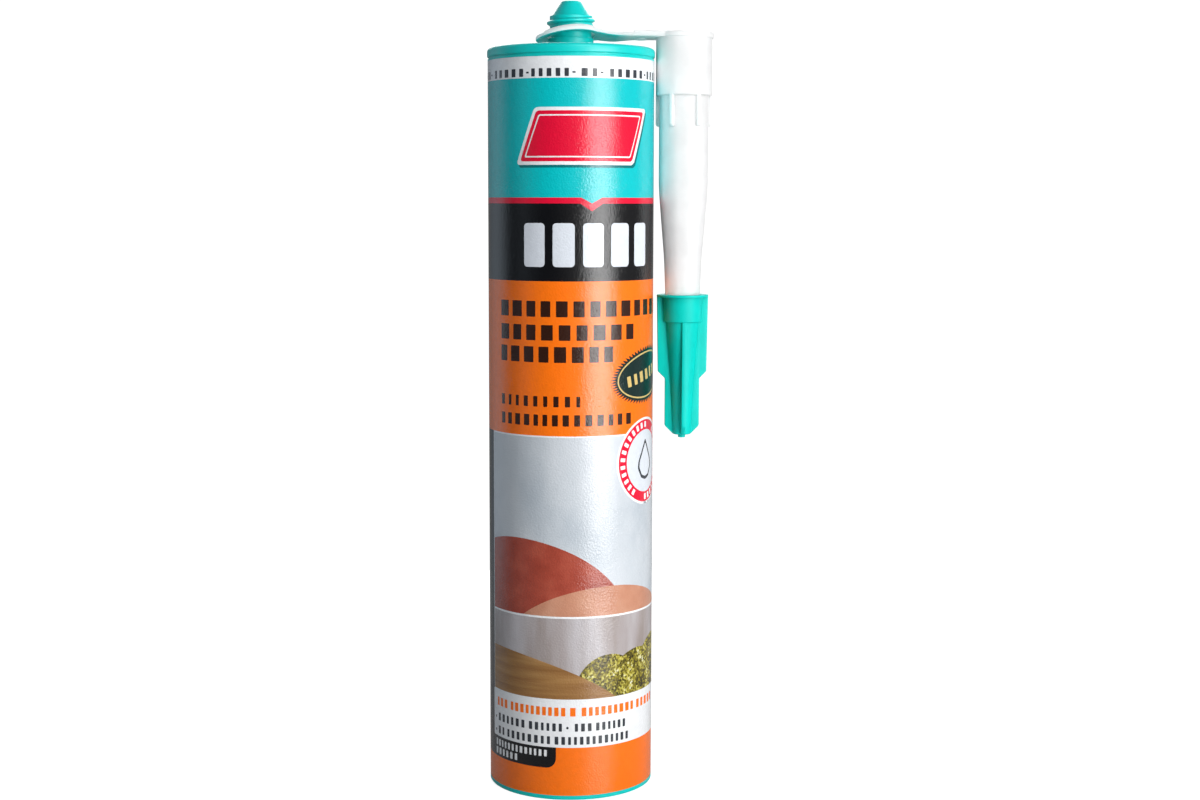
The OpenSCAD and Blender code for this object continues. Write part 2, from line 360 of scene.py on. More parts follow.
def tint(tree, surface, factor, stops):
    """Colour the surface through a ramp."""
    tree.links.new(colour_ramp(tree, factor, stops), surface.inputs["Base Color"])


def vary_roughness(tree, surface, factor, low, high):
    """Let the roughness follow a factor from low to high."""
    span = node(tree, "ShaderNodeMapRange", To_Min=low, To_Max=high)
    tree.links.new(factor, span.inputs["Value"])
    tree.links.new(span.outputs["Result"], surface.inputs["Roughness"])


def bump(tree, surface, height, distance, strength):
    """Give the surface a fine relief."""
    relief = node(tree, "ShaderNodeBump", Distance=distance, Strength=strength)
    tree.links.new(height, relief.inputs["Height"])
    tree.links.new(relief.outputs["Normal"], surface.inputs["Normal"])


def orange_peel(tree, surface):
    """The fine relief of a print under its film, and the noise that makes it."""
    peel = noise(tree, PEEL, 2)
    bump(tree, surface, peel, PEEL_DEPTH, 0.8)
    return peel


def shade(colour, factor):
    """A lighter or darker colour."""
    return tuple(min(1.0, c * factor) for c in colour)


def moulded_plastic(name, colour, roughness=0.32, depth=0.0015, glow=0.25, shine=0.4):
    """Moulded polyethylene, slightly cloudy, that light sinks into a little."""
    material, tree, surface = shader(
        name, colour, roughness, Subsurface_Weight=glow, Subsurface_Scale=depth,
        Subsurface_Radius=(1.0, 1.0, 1.0), Specular_IOR_Level=shine)
    tint(tree, surface, noise(tree, CLOUD, 4), [(0.35, shade(colour, 0.94)), (0.65, shade(colour, 1.04))])
    skin = noise(tree, SKIN, 5)
    vary_roughness(tree, surface, skin, roughness - 0.05, roughness + 0.09)
    bump(tree, surface, skin, SKIN_DEPTH, 0.6)
    return material


def natural_with_painted_teal_shade():
    """The strap's underside over the barrel: natural plastic with painted teal bounce light and shade from
    the shoulder, fading to plain natural towards the plate.
    """
    material = moulded_plastic(
        "natural polyethylene with painted teal shade", NATURAL, roughness=0.38, depth=0.003, glow=0.8)
    tree = material.node_tree
    place = node(tree, "ShaderNodeTexCoord")
    split = node(tree, "ShaderNodeSeparateXYZ")
    out = node(tree, "ShaderNodeMapRange", From_Min=PLATE_X - 5.3 * MM, From_Max=PLATE_X - 1 * MM)
    tree.links.new(place.outputs["Object"], split.inputs["Vector"])
    tree.links.new(split.outputs["X"], out.inputs["Value"])
    tint(tree, tree.nodes["Principled BSDF"], out.outputs["Result"], [(0.0, PAINTED_TEAL_SHADE), (1.0, NATURAL)])
    return material


def printed_film(name, colour):
    """Ink under the wrap's glossy film, with the fine orange peel of a print."""
    material, tree, surface = shader(name, colour, FILM_ROUGH, Specular_IOR_Level=0.5)
    tint(tree, surface, noise(tree, INK_GRAIN, 4), [(0.3, shade(colour, 0.96)), (0.7, shade(colour, 1.03))])
    vary_roughness(tree, surface, orange_peel(tree, surface), FILM_ROUGH - 0.05, FILM_ROUGH + 0.08)
    return material


def picture_ink(name, scale, stretch, tones):
    """A soft printed field of three tones."""
    material, tree, surface = shader(name, tones[1], PICTURE_ROUGH)
    tint(tree, surface, noise(tree, scale, 5, stretch), list(zip((0.32, 0.50, 0.68), tones)))
    orange_peel(tree, surface)
    return material


def shrub_ink():
    """Leaves out of focus: small uneven cells in olive and yellow."""
    material, tree, surface = shader("shrub field", (0.2, 0.2, 0.03), PICTURE_ROUGH)
    place = node(tree, "ShaderNodeTexCoord")
    cells = node(tree, "ShaderNodeTexVoronoi", Scale=LEAF)
    grey = node(tree, "ShaderNodeRGBToBW")
    mix = node(tree, "ShaderNodeMix", Factor=0.45)
    tree.links.new(place.outputs["Object"], cells.inputs["Vector"])
    tree.links.new(cells.outputs["Color"], grey.inputs["Color"])
    tree.links.new(noise(tree, LEAF_CLUMP, 5), mix.inputs["A"])
    tree.links.new(grey.outputs["Val"], mix.inputs["B"])
    tint(tree, surface, mix.outputs["Result"], [
        (0.30, (0.025, 0.020, 0.003)), (0.44, (0.10, 0.08, 0.008)), (0.55, (0.28, 0.23, 0.020)),
        (0.66, (0.58, 0.52, 0.10)), (0.80, (0.80, 0.82, 0.70))])
    orange_peel(tree, surface)
    return material


NATURAL = (0.86, 0.87, 0.87)
# Painted teal bounce light and shade for the strap's underside over the shoulder
PAINTED_TEAL_SHADE = (0.01, 0.55, 0.54)
teal_plastic = moulded_plastic("teal polyethylene", (0.0005, 0.60, 0.565))
cap_plastic = moulded_plastic("teal cap polyethylene", (0.0003, 0.58, 0.51), roughness=0.42, shine=0.15)
natural_plastic = moulded_plastic("natural polyethylene", NATURAL, roughness=0.38, depth=0.003, glow=0.8)
piston_plastic = moulded_plastic(
    "piston polyethylene", (0.82, 0.83, 0.80), roughness=0.45, depth=0.003, glow=0.4)
# The strap's underside, natural plastic with painted teal bounce light and shade
underside_painted_teal_shade = natural_with_painted_teal_shade()
paste = moulded_plastic("sealant paste", (0.86, 0.85, 0.80), roughness=0.5, depth=0.002, glow=0.3)
white_ink = printed_film("white ink", (0.83, 0.85, 0.87))
teal_ink = printed_film("teal ink", (0.0003, 0.49, 0.52))
shadow_ink = printed_film("dark teal ink", (0.0, 0.16, 0.17))
red_ink = printed_film("red ink", (0.72, 0.004, 0.035))
black_ink = printed_film("black ink", (0.0035, 0.0035, 0.0045))
orange_ink = printed_film("orange ink", (0.94, 0.17, 0.004))
brown_ink = printed_film("dark brown ink", (0.030, 0.008, 0.003))
grey_ink = printed_film("dark grey ink", (0.035, 0.04, 0.05))
pale_ink = printed_film("pale grey ink", (0.66, 0.70, 0.76))
gold_ink = printed_film("gold ink", (0.62, 0.46, 0.17))
deep_ink = printed_film("deep green ink", (0.006, 0.022, 0.02))


# Barrel moulding

def barrel():
    """Barrel, mouth, bead and nipple in one moulding, whose bore a skin closes at the nipple's tip."""
    bead_z = SHOULDER_Z - BEAD_H
    groove_z = bead_z - GROOVE_H
    groove_r = WRAP_R - GROOVE_DEPTH
    collar_z = SHOULDER_Z + COLLAR_H
    head_z = SHOULDER_Z - SHOULDER_T
    skin_z = NIPPLE_TOP - NIPPLE_SKIN
    mouth_r = BORE_R + MOUTH_STEP
    bm = turned([
        (mouth_r, 0, 0.2 * MM), (WRAP_R, 0, 0.3 * MM), (WRAP_R, WRAP_BOTTOM, 0), (SHELL_R, WRAP_BOTTOM, 0),
        (SHELL_R, WRAP_TOP, 0), (WRAP_R, WRAP_TOP, 0.05 * MM), (WRAP_R, groove_z, 0.15 * MM),
        (groove_r, groove_z, 0.1 * MM), (groove_r, bead_z, 0.1 * MM), (BEAD_R, bead_z, 0.35 * MM),
        (BEAD_R, SHOULDER_Z, BEAD_ROUND), (COLLAR_R, SHOULDER_Z, 0.4 * MM), (COLLAR_R, collar_z, 0.25 * MM),
        (NECK_R, collar_z, 0.1 * MM), (NECK_R, THREAD_Z, 0), (ROOT_R, THREAD_Z, 0.1 * MM),
        (ROOT_R, LEDGE_Z, 0.15 * MM), (CONE_FOOT_R, LEDGE_Z, 0.1 * MM), (CONE_TIP_R, NIPPLE_TOP, 0.3 * MM),
        (0, NIPPLE_TOP, 0), (0, skin_z, 0), (CONE_TIP_R - CONE_WALL, skin_z, 0),
        (NIPPLE_BORE_R, LEDGE_Z, 0), (NIPPLE_BORE_R, head_z, 0.3 * MM), (BORE_R, head_z, 0.3 * MM),
        (BORE_R, MOUTH_L + MOUTH_STEP, 0), (mouth_r, MOUTH_L, 0)], BARREL_STEPS)
    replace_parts(piece_of("barrel_moulding", bm, "barrel", "cartridge", teal_plastic), "cartridge")


# Thread ridges, whose half widths are in pitches
RIDGE_FOOT = 0.42
RIDGE_CREST = 0.12
RIDGE_ROOT = 0.15 * MM
LEAST_RIDGE = 0.02
THREAD_STEPS = 72


def helix(root_r, crest_r, low, high, run_out):
    """A thread ridge between two heights, whose ends run out over a number of turns."""
    root = RIDGE_ROOT if crest_r > root_r else -RIDGE_ROOT
    foot = RIDGE_FOOT * THREAD_PITCH
    crest = RIDGE_CREST * THREAD_PITCH
    bm = bmesh.new()
    polygon(bm, [(root_r - root, -foot, 0), (root_r, -foot, 0), (crest_r, -crest, 0), (crest_r, crest, 0),
                 (root_r, foot, 0), (root_r - root, foot, 0)], upright)
    turns = (high - low) / THREAD_PITCH
    bmesh.ops.spin(bm, geom=bm.faces[:], cent=(0, 0, 0), axis=(0, 0, 1), angle=math.tau * turns,
                   dvec=(0, 0, THREAD_PITCH / THREAD_STEPS), steps=round(THREAD_STEPS * turns))
    move(bm, z=low)
    for v in bm.verts:
        radius = math.hypot(v.co.x, v.co.y)
        along = (v.co.z - low) / (high - low)
        ramp = min(1.0, min(along, 1 - along) * turns / run_out + LEAST_RIDGE)
        if (radius - root_r) * (crest_r - root_r) > 0 and ramp < 1:
            kept = root_r + (radius - root_r) * max(ramp, 0.0)
            v.co.x *= kept / radius
            v.co.y *= kept / radius
    bmesh.ops.recalc_face_normals(bm, faces=bm.faces)
    return bm


def nipple_thread():
    """The thread below the nipple's cone."""
    bm = helix(ROOT_R, ROOT_R + THREAD_DEPTH, THREAD_Z + 0.4 * MM, LEDGE_Z - 0.7 * MM, 0.25)
    piece_of("nipple_thread", bm, "barrel", "cartridge", teal_plastic)


# Places on the print, in millimetres round the barrel from the front and up it
PRINT_LEFT = -29.4
PICTURE_LEFT = PRINT_LEFT + 0.4
PRINT_RIGHT = 44.0
PICTURE_TOP = 108.6
PICTURE_SPLIT = 55.0
PICTURE_LOW = 30.1
PANEL_LOW = 15.9
TAG_LOW = 9.6
TAG_RIGHT = -4.4
MARGIN_LEFT = PRINT_LEFT - 7.5
SPLIT_HALF = 0.3
SEAM = 69.9

# Printed wrap: (height of the lower edge, ink), from the top down
BANDS = [
    (211.4 * MM, white_ink), (177.5 * MM, teal_ink), (175.8 * MM, red_ink), (153.5 * MM, black_ink),
    (PICTURE_TOP * MM, orange_ink), (PICTURE_LOW * MM, orange_ink), (PANEL_LOW * MM, orange_ink),
    (WRAP_BOTTOM, orange_ink)]


def wrap_film():
    """The film as one tube, its bands parted by rings of edges and each with its own ink."""
    inks = []
    for _, ink in BANDS:
        if ink not in inks:
            inks.append(ink)
    heights = [WRAP_TOP] + [z for z, _ in BANDS]
    outline = [(WRAP_R, z, 0) for z in heights] + [(SHELL_R, WRAP_BOTTOM, 0), (SHELL_R, WRAP_TOP, 0)]
    bm = turned(outline, BARREL_STEPS)
    for face in bm.faces:
        middle = face.calc_center_median()
        band = next((i for i, (z, _) in enumerate(BANDS) if middle.z > z), len(BANDS) - 1)
        face.material_index = inks.index(BANDS[band][1])
    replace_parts(piece_of("wrap_film", bm, "barrel", "label", *inks), "label")


# How deep a print sits in the wrap, how much each layer stands proud of the last, and its strips
INK_SUNK = 0.02 * MM
INK_LAYER = 0.013 * MM
STRIP = 0.8 * MM


def print_on(name, bm, ink, layer=1):
    """Lay a flat print on the wrap: x runs round the barrel from the front, y up it."""
    left = min(v.co.x for v in bm.verts)
    right = max(v.co.x for v in bm.verts)
    for i in range(math.ceil(left / STRIP), math.floor(right / STRIP) + 1):
        cut_across(bm, i * STRIP)
    thicken(bm, (0, 0, INK_SUNK + layer * INK_LAYER))
    for v in bm.verts:
        way = v.co.x / WRAP_R
        reach = WRAP_R - INK_SUNK + v.co.z
        v.co = (reach * math.sin(way), -reach * math.cos(way), v.co.y)
    piece_of(name, bm, "barrel", "label", ink)


def shape(bm, points, corner=0.0):
    """A flat shape through points in millimetres, with rounded corners."""
    polygon(bm, [(x * MM, y * MM, corner * MM) for x, y in points])


def block(bm, left, bottom, right, top, corner, slant=0.0):
    """A plain block in millimetres, whose upper edge is shifted by slant."""
    shape(bm, [(left, bottom), (right, bottom), (right + slant, top), (left + slant, top)], corner)


def disc(bm, x, y, radius, segments=96, wide=1.0, tilt=0.0, teeth=0.0):
    """A flat disc, or an oval with a wide factor, with toothed edge where teeth gives their depth."""
    ring = bmesh.ops.create_circle(bm, cap_ends=True, segments=segments, radius=radius * MM)["verts"]
    if teeth:
        bmesh.ops.scale(bm, vec=Vector((1 - teeth, 1 - teeth, 1)), verts=ring[::2])
    bmesh.ops.scale(bm, vec=Vector((wide, 1, 1)), verts=ring)
    bmesh.ops.rotate(bm, cent=(0, 0, 0), matrix=Matrix.Rotation(math.radians(tilt), 3, "Z"), verts=ring)
    bmesh.ops.translate(bm, vec=(x * MM, y * MM, 0), verts=ring)


def one(build, *args):
    """A bmesh with one shape in it."""
    bm = bmesh.new()
    build(bm, *args)
    return bm


# How wide the blocks of a word are, as parts of their pitch, taken in turn
WIDTHS = (1.0, 0.94, 1.06, 0.97, 1.03, 0.93, 1.07)


def word(bm, left, right, bottom, top, count, fill):
    """Plain blocks of nearly even widths in place of one word."""
    widths = [WIDTHS[(i * 3 + count) % len(WIDTHS)] for i in range(count)]
    pitch = (right - left) / (sum(widths) - (1 - fill))
    x = left
    for wide in widths:
        block(bm, x, bottom, x + pitch * (wide - 1 + fill), top, min(0.2, pitch * fill / 5))
        x += pitch * wide


# Rows of blocks: (lower edge, upper edge, how full, words), each word as (left, right, count)
BROWN_ROWS = [
    (143.2, 147.8, 0.66, [(-24.0, 38.4, 13)]),
    (136.4, 140.9, 0.66, [(-23.9, 20.6, 9)]),
    (130.0, 134.6, 0.66, [(-24.0, 12.8, 8)]),
    (117.1, 120.2, 0.42, [(-23.8, 2.7, 9)]),
    (111.5, 114.8, 0.54, [(-23.8, -3.8, 7), (-2.4, 19.6, 7)])]
SEAL_ROW = [(-1.6, 1.6, 0.5, [(-9.6, 9.6, 7)])]
ORANGE_ROW = [
    (25.4, 28.0, 0.62, [(-27.0, -21.6, 3), (-20.0, -1.6, 10), (-0.2, 1.4, 1), (3.2, 21.0, 9),
                        (22.6, 33.4, 5)])]
DARK_ROWS = [
    (20.8, 23.2, 0.52, [(-26.4, -14.6, 6), (-13.0, -2.6, 6), (1.2, 6.2, 3), (7.6, 17.6, 6)]),
    (16.8, 19.2, 0.52, [(-26.4, -23.2, 2), (-21.6, -6.2, 8), (-4.8, 18.8, 13)])]
TAG_ROWS = [
    (13.0, 15.0, 0.5, [(-28.0, -7.2, 13)]),
    (10.4, 12.4, 0.5, [(-28.0, -17.4, 6)])]


def rows(lines):
    """A bmesh with these rows of blocks."""
    bm = bmesh.new()
    for bottom, top, fill, words in lines:
        for left, right, count in words:
            word(bm, left, right, bottom, top, count, fill)
    return bm


def top_row():
    """Small grey blocks round the white band, in words of five, five and two with a dash after each."""
    first, low, high, fill = -27.3, 211.8, 214.1, 0.52
    dash_gap, dash_end, dash_low, dash_high = 1, 1.9, 212.7, 213.2
    repeats = 4
    period = math.tau * WRAP_R / MM / repeats
    bm = bmesh.new()
    for i in range(repeats):
        start = first + period * i
        for left, right, count in ((0, 12.8, 5), (15.5, 26.7, 5), (30.3, 34.9, 2)):
            word(bm, start + left, start + right, low, high, count, fill)
            block(bm, start + right + dash_gap, dash_low, start + right + dash_end, dash_high, 0.1)
    print_on("top_row", bm, grey_ink)


def banner():
    """A plain slanted red banner with a white edge and a white line in it, and a dark shade below."""
    left, right, low, high, slant, corner = -17.0, 20.2, 186.8, 203.2, 6.2, 1.2
    over, under = 0.6, 0.8
    dark = one(block, left + over, low - under, right + over, high - under, corner, slant)
    print_on("banner_shade", dark, shadow_ink, 1)
    for name, inset, ink, layer in (("banner_edge", 0.0, white_ink, 2), ("banner_red", 1.0, red_ink, 3),
                                    ("banner_line", 2.1, white_ink, 4), ("banner_field", 2.5, red_ink, 5)):
        lean = slant * (high - low - 2 * inset) / (high - low)
        shift = slant * inset / (high - low)
        print_on(name, one(block, left + inset + shift, low + inset, right - inset + shift, high - inset,
                           max(corner - inset * 0.3, 0.3), lean), ink, layer)


def notched_stripe():
    """The point under the red stripe, and the same point of teal above it."""
    middle = 6.1
    for name, half, top, tip, ink, layer in (("stripe_point", 3.5, 175.85, 173.6, red_ink, 1),
                                             ("stripe_notch", 3.2, 177.55, 175.8, teal_ink, 2)):
        print_on(name, one(shape, [(middle - half, top), (middle, tip), (middle + half, top)]), ink, layer)


def pale_blocks():
    """Five plain blocks on the black band."""
    x, low, high, gap, corner = -14.3, 157.6, 170.2, 2.4, 1.1
    bm = bmesh.new()
    for wide in (6.6, 6.4, 6.2, 6.3, 5.9):
        block(bm, x, low, x + wide, high, corner)
        x += wide + gap
    print_on("pale_blocks", bm, pale_ink)


def seal():
    """A tilted oval seal with a toothed edge and a gold line, and plain blocks on it."""
    x, y, tilt = 27.6, 125.6, 8.3
    for name, radius, segments, wide, teeth, ink, layer in (
            ("seal_ground", 8.4, 128, 1.88, 0.13, deep_ink, 1),
            ("seal_ring", 6.75, 96, 1.97, 0.0, gold_ink, 2),
            ("seal_face", 6.3, 96, 2.04, 0.0, deep_ink, 3)):
        print_on(name, one(disc, x, y, radius, segments, wide, tilt, teeth), ink, layer)
    blocks = turn(rows(SEAL_ROW), math.radians(tilt + 3))
    print_on("seal_blocks", move(blocks, x * MM, y * MM), gold_ink, 4)


# The drop's outline, and the places for blocks on the badge's ring, two rows with a gap after each
DROP = [(0, 6.4), (-3.6, 0.4), (-3.9, -1.6), (-2.2, -4.3), (0, -4.9), (2.2, -4.3), (3.9, -1.6), (3.6, 0.4)]
MARK_PLACES = 30
MARKS_IN_ROW = 13


def badge():
    """A round badge: white edge, red ring with small white blocks, and a plain drop in the middle."""
    x, y = 27.2, 99.8
    for name, radius, ink, layer in (("badge_edge", 13.0, white_ink, 2), ("badge_ring", 12.3, red_ink, 3),
                                     ("badge_face", 9.3, pale_ink, 4)):
        print_on(name, one(disc, x, y, radius), ink, layer)
    marks = bmesh.new()
    for i in range(MARK_PLACES):
        if i % (MARK_PLACES // 2) < MARKS_IN_ROW:
            mark = one(block, -0.55, 9.95, 0.55, 11.7, 0.2)
            add_to(marks, turn(mark, math.tau * i / MARK_PLACES))
    print_on("badge_blocks", move(marks, x * MM, y * MM), white_ink, 4)
    for name, size, ink, layer in (("drop_line", 1.1, grey_ink, 5), ("drop_face", 0.9, pale_ink, 6)):
        drop = one(shape, DROP, 0.6)
        bmesh.ops.scale(drop, vec=Vector((size, size, 1)), verts=drop.verts)
        print_on(name, move(drop, x * MM, (y - 0.3) * MM), ink, layer)


def clipped_disc(x, y, radius, bottom):
    """A disc cut off along the left, lower and right edges of a picture."""
    bm = one(disc, x, y, radius, 160)
    for spot, way in (((PICTURE_LEFT, 0), (-1, 0)), ((0, bottom), (0, -1)), ((PRINT_RIGHT, 0), (1, 0))):
        bmesh.ops.bisect_plane(bm, geom=bm.verts[:] + bm.edges[:] + bm.faces[:], dist=MERGE,
                               plane_co=(spot[0] * MM, spot[1] * MM, 0), plane_no=(*way, 0),
                               clear_outer=True)
    return bm


def pictures():
    """Two plain pictures: round hills under a pale sky, and below them a brown field beside shrubs."""
    plaster = picture_ink("plaster field", 55, (1, 1, 0.6), [
        (0.42, 0.47, 0.52), (0.53, 0.57, 0.61), (0.60, 0.63, 0.67)])
    lilac = picture_ink("grey lilac field", 60, (1.6, 1.6, 0.3), [
        (0.26, 0.21, 0.18), (0.38, 0.34, 0.34), (0.50, 0.48, 0.50)])
    wood = picture_ink("brown field", 90, (0.2, 0.2, 3.2), [
        (0.20, 0.085, 0.022), (0.33, 0.17, 0.055), (0.50, 0.29, 0.12)])
    terracotta = picture_ink("terracotta field", 120, None, [
        (0.30, 0.045, 0.025), (0.36, 0.06, 0.035), (0.42, 0.085, 0.05)])
    clay = picture_ink("clay field", 120, None, [
        (0.46, 0.20, 0.12), (0.52, 0.24, 0.15), (0.57, 0.29, 0.19)])
    shrubs = shrub_ink()
    upper = PICTURE_SPLIT + SPLIT_HALF
    lower = PICTURE_SPLIT - SPLIT_HALF
    edge_low = PICTURE_LOW - 0.2
    edge_high = PICTURE_LOW + 0.4
    fields = (
        ("picture_margin", one(block, MARGIN_LEFT, TAG_LOW, PRINT_LEFT, PICTURE_TOP, 0), black_ink, 1),
        ("picture_ground", one(block, PRINT_LEFT, PICTURE_LOW, PRINT_RIGHT, PICTURE_TOP, 0), white_ink, 1),
        ("picture_sky", one(block, PICTURE_LEFT, upper, PRINT_RIGHT, PICTURE_TOP - 0.45, 0), plaster, 2),
        ("hill_far", clipped_disc(-17, 38, 40, upper), terracotta, 3),
        ("hill_near", clipped_disc(12, 18, 46, upper), clay, 4),
        ("field_sky", one(block, PICTURE_LEFT, PICTURE_LOW, PRINT_RIGHT, lower, 0), lilac, 2),
        ("shrub_1", clipped_disc(34, 34, 12.5, PICTURE_LOW), shrubs, 3),
        ("shrub_2", clipped_disc(12, 33, 10.5, PICTURE_LOW), shrubs, 4),
        ("shrub_3", clipped_disc(23, 31, 13, PICTURE_LOW), shrubs, 5),
        ("brown_field", clipped_disc(-26, -22, 66, PICTURE_LOW), wood, 6),
        ("field_edge", one(block, PICTURE_LEFT, edge_low, PRINT_RIGHT, edge_high, 0), white_ink, 7))
    for name, bm, ink, layer in fields:
        print_on(name, bm, ink, layer)


def info_panel():
    """The white panel under the pictures, with an orange row and two dark ones."""
    ground = one(block, PRINT_LEFT - 0.3, PANEL_LOW, PRINT_RIGHT, PICTURE_LOW, 0)
    print_on("info_ground", ground, white_ink, 2)
    print_on("orange_row", rows(ORANGE_ROW), orange_ink, 3)
    dark = rows(DARK_ROWS)
    for x, y in ((-28.0, 21.7), (-28.0, 17.7), (-1.0, 21.9)):
        disc(dark, x, y, 0.4, 16)
    print_on("dark_rows", dark, grey_ink, 3)


def tag():
    """The black tag under the white panel, whose lower corner is round."""
    left = PRINT_LEFT - 0.9
    ground = bmesh.new()
    polygon(ground, [(x * MM, y * MM, r * MM) for x, y, r in (
        (left, TAG_LOW, 0), (TAG_RIGHT, TAG_LOW, 3.0), (TAG_RIGHT, PANEL_LOW, 0), (left, PANEL_LOW, 0))])
    print_on("tag_ground", ground, black_ink, 2)
    print_on("tag_rows", rows(TAG_ROWS), white_ink, 3)


# Bars of one line on the rear of the print, from left to right, and the lines that stay empty
BARS = ((0, 4.4), (5.1, 7.7), (8.4, 13.6), (14.3, 18.9))
EMPTY_LINES = (6, 7, 15)


def back():
    """Three columns of short bars on the rear of the print, and the wrap's overlapped edge."""
    first, column_pitch, columns = 49.6, 21.3, 3
    low, high, line_pitch, lines = 101.8, 103.0, 3.0, 22
    bm = bmesh.new()
    for column in range(columns):
        start = first + column_pitch * column
        for line in range(lines):
            if line in EMPTY_LINES:
                continue
            down = line_pitch * line
            shift = (line * 5 + column * 3) % 4 * 0.35
            for left, right in BARS[:4 - (line % 5 == 4)]:
                near = shift if 0 < left < BARS[-1][0] else 0
                far = near if right < BARS[-1][0] else 0
                block(bm, start + left + near, low - down, start + right + far, high - down, 0.15)
    print_on("back_rows", bm, brown_ink)
    edge = one(block, SEAM - 0.35, WRAP_BOTTOM / MM, SEAM, WRAP_TOP / MM, 0)
    print_on("wrap_edge", edge, white_ink, 2)


# Nozzle

ARC_STEPS = 48
BEND_STEP = 0.5 * MM
# How far one solid runs into the next, so that they join
LAP = 0.3 * MM


def hung(points, steps=128):
    """A solid turned round the axis of the hanging nozzle."""
    return move(turned(points, steps), HANG_X)


def strap_z(x):
    """Height of the underside of the strap at a distance x from the barrel's axis."""
    if x >= ARCH_X + ARCH_RUN:
        return FLANGE_Z
    if x >= ARCH_X:
        return FLANGE_Z + ARCH_RISE / 2 * (1 + math.cos(math.pi * (x - ARCH_X) / ARCH_RUN))
    return FLANGE_Z + ARCH_RISE - RING_DROOP * ((ARCH_X - x) / (ARCH_X + RING_R)) ** 2


def bend(bm):
    """Bend a flat plate, or what lies on it, as the strap hangs, with its ring higher at the front."""
    for v in bm.verts:
        x, y, z = v.co
        thicker = FLANGE_T / STRAP_T if x > PLATE_X else 1.0
        end, tilt = (HANG_X, RING_LIFT) if y < 0 else (PLATE_X, RING_DIP)
        fade = min(max((end - x) / ARCH_RUN, 0.0), 1.0)
        v.co.z = z * thicker + strap_z(x) - tilt * fade * y / RING_R
    return bm


def arc(centre, radius, start, end):
    """Points of an arc in the XY plane, angles in degrees."""
    ways = [math.radians(start + (end - start) * i / ARC_STEPS) for i in range(ARC_STEPS + 1)]
    return [(centre + radius * math.cos(way), radius * math.sin(way), 0) for way in ways]


def strap_plate():
    """Ring, strap and flange in one plate, cut flat, rounded at its rims and then bent."""
    half = STRAP_W / 2
    ring_end = math.degrees(math.asin(half / RING_R))
    flange_end = math.degrees(math.asin(half / FLANGE_R))
    bm = bmesh.new()
    polygon(bm, arc(0, RING_R, 180, ring_end) + arc(HANG_X, FLANGE_R, 180 - flange_end, 0)
            + arc(HANG_X, SOCKET_R - 0.5 * MM, 0, 180) + arc(0, RING_HOLE_R, 0, 180))
    other = bmesh.ops.duplicate(bm, geom=bm.verts[:] + bm.edges[:] + bm.faces[:])["geom"]
    other_verts = [v for v in other if isinstance(v, bmesh.types.BMVert)]
    bmesh.ops.scale(bm, vec=Vector((1, -1, 1)), verts=other_verts)
    bmesh.ops.remove_doubles(bm, verts=bm.verts, dist=MERGE)
    thicken(bm, (0, 0, STRAP_T))
    soften(bm, sharp_edges(bm), 0.28 * MM)
    first = math.ceil(-RING_R / BEND_STEP)
    last = math.floor((HANG_X + FLANGE_R) / BEND_STEP)
    cuts = [i * BEND_STEP for i in range(first, last)]
    for x in cuts + [PLATE_X - 0.1 * MM, PLATE_X + 0.1 * MM]:
        cut_across(bm, x)
    return bend(bm)


def ring_lip():
    """The lip round the ring's hole, pushed up where it snapped over the nipple's thread."""
    foot = STRAP_T / 2
    return bend(turned([(LIP_IN_R, foot, 0), (LIP_OUT_R, foot, 0), (LIP_OUT_R, STRAP_T + LIP_H, 0.35 * MM),
                        (LIP_IN_R, STRAP_T + LIP_H, 0.3 * MM)], 96))


def rib(angle):
    """A rib under the hub, rounded at its lower end."""
    inner = TUBE_R - 0.6 * MM
    low = HUB_Z - RIB_L
    top = HUB_Z + 0.5 * MM
    bm = bmesh.new()
    polygon(bm, [(inner, low, 0), (HUB_R, low, 0.8 * MM), (HUB_R, top, 0), (inner, top, 0)],
            lambda r, z: (r, -RIB_T / 2, z))
    thicken(bm, (0, RIB_T, 0))
    outer = [e for e in sharp_edges(bm) if all(v.co.x > inner + 0.1 * MM for v in e.verts)]
    soften(bm, outer, 0.25 * MM)
    return move(turn(bm, angle), HANG_X)


